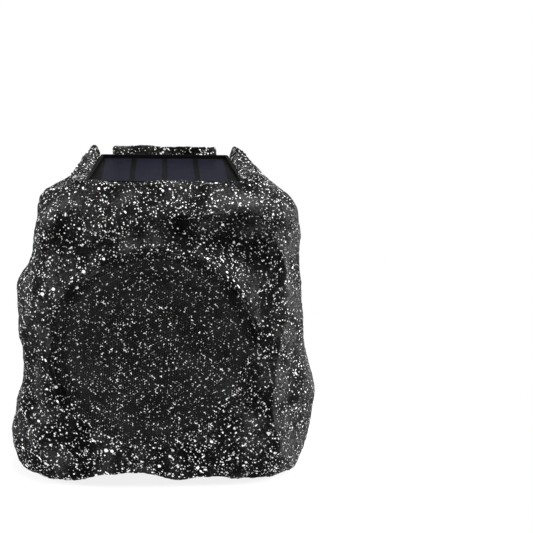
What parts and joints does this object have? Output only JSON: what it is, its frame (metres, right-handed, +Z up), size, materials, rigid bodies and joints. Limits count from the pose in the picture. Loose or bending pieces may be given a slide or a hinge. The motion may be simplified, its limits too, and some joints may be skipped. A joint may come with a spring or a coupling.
{
  "type": "rock shaped garden speaker",
  "caption": "Solar garden speaker shaped like a flecked dark rock, with a round perforated grille in front, a solar panel let into the top and rubber controls at the back.",
  "frame": {"origin": "middle of the rock's footprint, on the ground under the rubber feet", "axes": "+Z up, -Y towards the listener in front of the grille, +X to the right as seen from the front"},
  "size_m": [0.2385, 0.2024, 0.2395],
  "materials": {
    "rock": "moulded stone grain with flecked paint",
    "grille": "perforated, flecked paint",
    "solar_frame": "fine moulded grain",
    "solar_sheet": "smooth",
    "solar_cell": "dark blue silicon",
    "solar_cover": "clear",
    "steel": "zinc plated",
    "basket": "black satin",
    "ferrite": "matte",
    "paper": "black pulp",
    "copper": "wound wire",
    "cloth": "treated cloth",
    "rubber": "matte",
    "panel": "fine moulded grain",
    "light": "milky clear",
    "board": "lacquered",
    "black_plastic": "plain",
    "connector": "plain",
    "aluminium": "extruded",
    "cell_wrap": "shrink wrap"
  },
  "bodies": {
    "housing": {"rock_shell": "rock", "front_grille": "grille", "driver_gasket": "rubber", "driver_basket": "basket", "driver_surround": "rubber", "driver_spider": "cloth", "driver_top_plate": "steel", "driver_magnet": "ferrite", "driver_yoke": "steel", "driver_terminal": "black_plastic", "driver_screws": "steel", "solar_tray": "solar_frame", "solar_backsheet": "solar_sheet", "solar_cells": "solar_cell", "solar_cover": "solar_cover", "solar_screws": "steel", "control_panel": "panel", "control_gasket": "rubber", "control_screws": "steel", "status_light": "light", "charge_socket": "steel", "port_cover_pin": "steel", "main_board": "board", "button_switches": "black_plastic", "status_led": "light", "wireless_module": "steel", "heat_sink": "aluminium", "board_capacitors": "black_plastic", "board_connectors": "connector", "board_screws": "steel", "battery_cells": "cell_wrap", "battery_tray": "black_plastic", "battery_strap": "steel", "battery_screws": "steel", "base_plate": "black_plastic", "base_seal": "rubber", "base_screws": "steel", "rubber_feet": "rubber", "driver_lead": "rubber", "solar_lead": "rubber", "battery_lead": "rubber"},
    "cone": {"driver_cone": "paper", "driver_dust_cap": "paper", "driver_voice_coil": "copper"},
    "power_button": {"power_button": "rubber"},
    "pairing_button": {"pairing_button": "rubber"},
    "volume_down_button": {"volume_down_button": "rubber"},
    "volume_up_button": {"volume_up_button": "rubber"},
    "port_cover": {"port_cover": "rubber"}
  },
  "joints": [
    {"name": "cone_travel", "type": "slide", "parent": "housing", "child": "cone", "axis": [0, -0.9945, 0.1045], "range_m": [-0.003, 0.003], "stiffness_N_per_m": 1000, "deforming": ["driver_surround", "driver_spider"]},
    {"name": "power_press", "type": "slide", "parent": "housing", "child": "power_button", "axis": [0, -1, 0], "range_m": [0, 0.001], "stiffness_N_per_m": 1500},
    {"name": "pairing_press", "type": "slide", "parent": "housing", "child": "pairing_button", "axis": [0, -1, 0], "range_m": [0, 0.001], "stiffness_N_per_m": 1500},
    {"name": "volume_down_press", "type": "slide", "parent": "housing", "child": "volume_down_button", "axis": [0, -1, 0], "range_m": [0, 0.001], "stiffness_N_per_m": 1500},
    {"name": "volume_up_press", "type": "slide", "parent": "housing", "child": "volume_up_button", "axis": [0, -1, 0], "range_m": [0, 0.001], "stiffness_N_per_m": 1500},
    {"name": "port_cover_hinge", "type": "hinge", "parent": "housing", "child": "port_cover", "pos_m": [-0.008, 0.09244, 0.078], "axis": [-1, 0, 0], "range_deg": [0, 110]}
  ]
}
